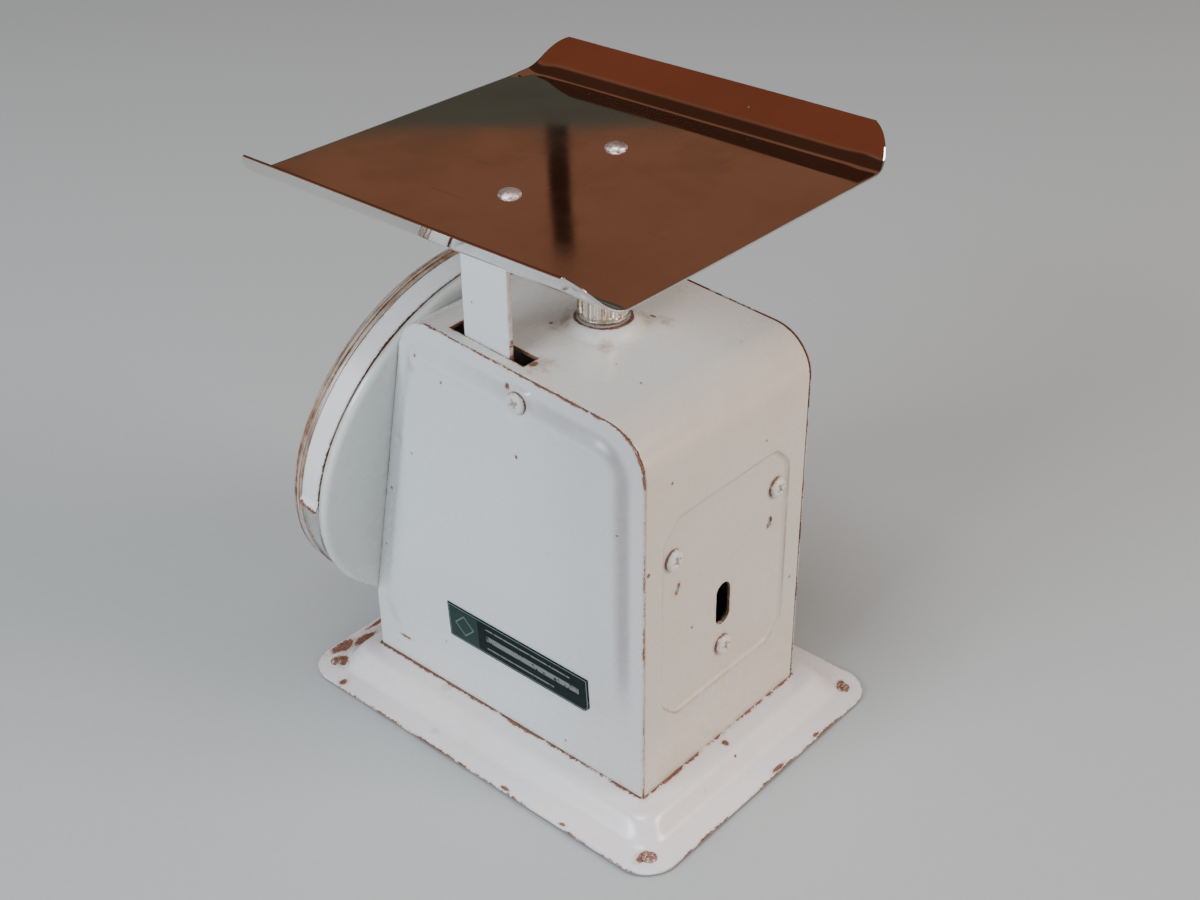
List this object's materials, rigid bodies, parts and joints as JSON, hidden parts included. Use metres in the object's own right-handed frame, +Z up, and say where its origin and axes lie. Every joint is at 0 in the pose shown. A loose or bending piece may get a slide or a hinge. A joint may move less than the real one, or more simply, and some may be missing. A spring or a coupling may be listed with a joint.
{
  "type": "retail price scale",
  "caption": "Spring scale with an upper tray on a sliding bracket, a sheet-metal case on a flanged base, and a round dial driven by a rack.",
  "frame": {"origin": "centre of the base's outline, on the surface that the feet stand on", "axes": "+Z up, +Y towards the back panel, so the dial faces -Y; +X is the side with the label"},
  "size_m": [0.1556, 0.18, 0.2249],
  "materials": {
    "case_enamel": "aged off-white stoved enamel with rust at the edges",
    "base_enamel": "aged off-white enamel, chipped to red-brown rust",
    "polished_steel": "polished stainless sheet with fine scratches",
    "arm_steel": "pale enamel on flat steel strap",
    "plated_steel": "dull zinc-plated steel",
    "spring_steel": "hard-drawn spring wire",
    "spring_plug": "turned brass",
    "knob_metal": "fluted plated knob, worn",
    "bearing_brass": "machined brass",
    "foot_rubber": "black rubber pads",
    "clear_lens": "clear moulded plastic, yellowed at the rim",
    "dial_card": "printed white dial",
    "pointer_paint": "red painted steel",
    "label_metal": "dark green metal label with a pale border"
  },
  "bodies": {
    "stand": {"base_plate": "base_enamel", "foot_pads": "foot_rubber", "foot_rivets": "base_enamel", "base_screws": "plated_steel", "overload_stop": "plated_steel", "case_shell": "case_enamel", "side_cover_right": "case_enamel", "side_cover_left": "case_enamel", "cover_screws": "case_enamel", "back_screws": "case_enamel", "label_plate": "label_metal", "main_frame": "plated_steel", "top_bracket": "plated_steel", "bracket_rivets": "plated_steel", "pivot_rods": "plated_steel", "rod_clips": "plated_steel", "spring_left": "spring_steel", "spring_right": "spring_steel", "shaft_bracket": "plated_steel", "front_bush": "bearing_brass", "rear_bush": "bearing_brass", "dial_pan": "case_enamel", "pan_screws": "plated_steel", "dial_spacers": "plated_steel", "dial_plate": "dial_card", "dial_screws": "plated_steel", "dial_lens": "clear_lens", "rim_band": "case_enamel"},
    "carrier": {"tray": "polished_steel", "tray_rivets": "polished_steel", "tray_bracket": "arm_steel", "stay_pins": "plated_steel", "pin_clips": "plated_steel", "spring_yoke": "plated_steel", "yoke_rivets": "plated_steel", "rack_pin": "plated_steel", "lower_spring_plugs": "spring_plug"},
    "rack_bar": {"rack": "bearing_brass"},
    "pointer_set": {"pointer_shaft": "plated_steel", "pinion": "bearing_brass", "pointer": "pointer_paint", "pointer_hub": "pointer_paint"},
    "upper_lever": {"upper_stay": "plated_steel"},
    "lower_lever": {"lower_stay": "plated_steel"},
    "adjuster": {"adjust_knob": "knob_metal", "adjust_screw": "plated_steel", "screw_clip": "plated_steel"},
    "hanger": {"spring_hanger": "plated_steel", "upper_spring_plugs": "spring_plug"}
  },
  "joints": [
    {"name": "tray_slide", "type": "slide", "parent": "stand", "child": "carrier", "axis": [0, 0, 1], "range_m": [-0.018, 0], "stiffness_N_per_m": 1096, "springref_m": 0.0036, "deforming": ["spring_left", "spring_right"]},
    {"name": "rack_slide", "type": "slide", "parent": "stand", "child": "rack_bar", "axis": [0, 0.2055, 0.9787], "range_m": [-0.0186, 0.0001]},
    {"name": "pointer_turn", "type": "hinge", "parent": "stand", "child": "pointer_set", "pos_m": [0, -0.05621, 0.09524], "axis": [0, -0.9787, 0.2055], "range_deg": [-352.3, 1]},
    {"name": "upper_stay_hinge", "type": "hinge", "parent": "stand", "child": "upper_lever", "pos_m": [0, 0.046, 0.112], "axis": [1, 0, 0], "range_deg": [-0.2, 20]},
    {"name": "lower_stay_hinge", "type": "hinge", "parent": "stand", "child": "lower_lever", "pos_m": [0, 0.046, 0.058], "axis": [1, 0, 0], "range_deg": [-0.2, 20]},
    {"name": "adjuster_turn", "type": "hinge", "parent": "stand", "child": "adjuster", "pos_m": [0, 0.0106, 0.165], "axis": [0, 0, 1], "range_deg": [-361, 361]},
    {"name": "hanger_slide", "type": "slide", "parent": "stand", "child": "hanger", "axis": [0, 0, 1], "range_m": [-0.001, 0.001]}
  ],
  "couplings": [
    {"joint": "rack_slide", "follows": "tray_slide", "ratio": 1.0218},
    {"joint": "pointer_turn", "follows": "tray_slide", "rad_per_m": 340.6},
    {"joint": "upper_stay_hinge", "follows": "tray_slide", "rad_per_m": -19.042},
    {"joint": "lower_stay_hinge", "follows": "tray_slide", "rad_per_m": -19.042},
    {"joint": "adjuster_turn", "follows": "hanger_slide", "rad_per_m": 6283.2}
  ]
}
